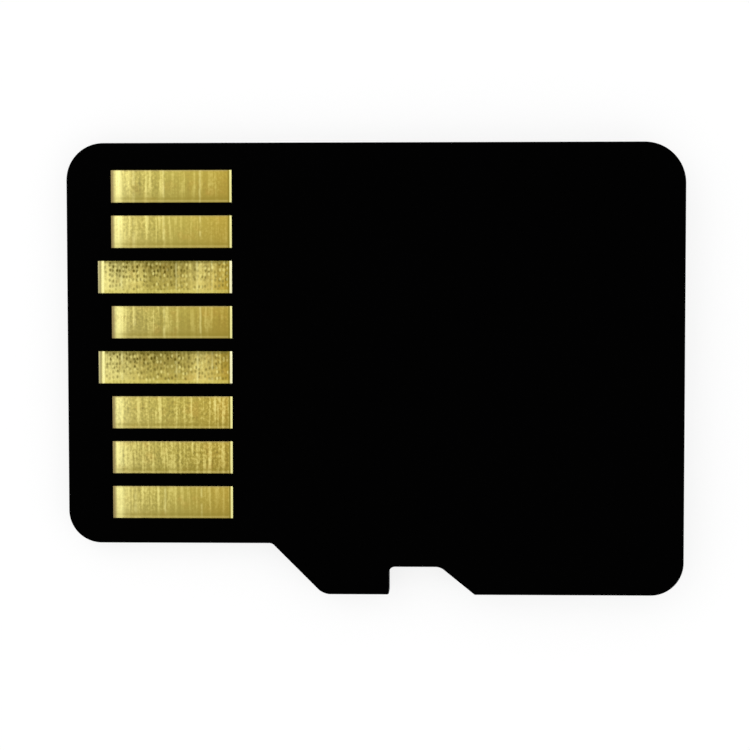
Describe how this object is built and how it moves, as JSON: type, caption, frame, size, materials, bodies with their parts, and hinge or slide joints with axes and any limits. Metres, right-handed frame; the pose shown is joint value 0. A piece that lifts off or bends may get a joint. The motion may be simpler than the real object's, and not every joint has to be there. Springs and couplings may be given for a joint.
{
  "type": "micro memory card",
  "caption": "Thin black memory card with a row of gold contacts at its insertion end, a stepped side with a latch notch and a raised finger lip. It stores data for cameras and phones.",
  "frame": {"origin": "centre of the card's outline, on the plane that the lip rests on", "axes": "+X along the card from the insertion end to the lip end, +Y towards the plain long side, +Z out of the contact side"},
  "size_m": [0.015, 0.011, 0.001],
  "materials": {
    "moulding_compound": "black moulding compound, fine matt",
    "board_mask": "black mask on a laminate, smooth satin",
    "contact_gold": "pale gold plating, finely brushed across the contact",
    "silicon": "ground silicon, grey",
    "capacitor_ceramic": "fired ceramic, brown, with tinned ends",
    "bond_gold": "bright gold wire"
  },
  "bodies": {
    "root": {"moulded_body": "moulding_compound", "circuit_board": "board_mask", "controller_die": "silicon", "contact_1": "contact_gold", "contact_2": "contact_gold", "contact_3": "contact_gold", "contact_4": "contact_gold", "contact_5": "contact_gold", "contact_6": "contact_gold", "contact_7": "contact_gold", "contact_8": "contact_gold", "memory_die_1": "silicon", "memory_die_2": "silicon", "memory_die_3": "silicon", "memory_die_4": "silicon", "capacitor_1": "capacitor_ceramic", "capacitor_2": "capacitor_ceramic", "capacitor_3": "capacitor_ceramic", "capacitor_4": "capacitor_ceramic", "memory_bond_wires": "bond_gold", "controller_bond_wires": "bond_gold"}
  },
  "joints": []
}
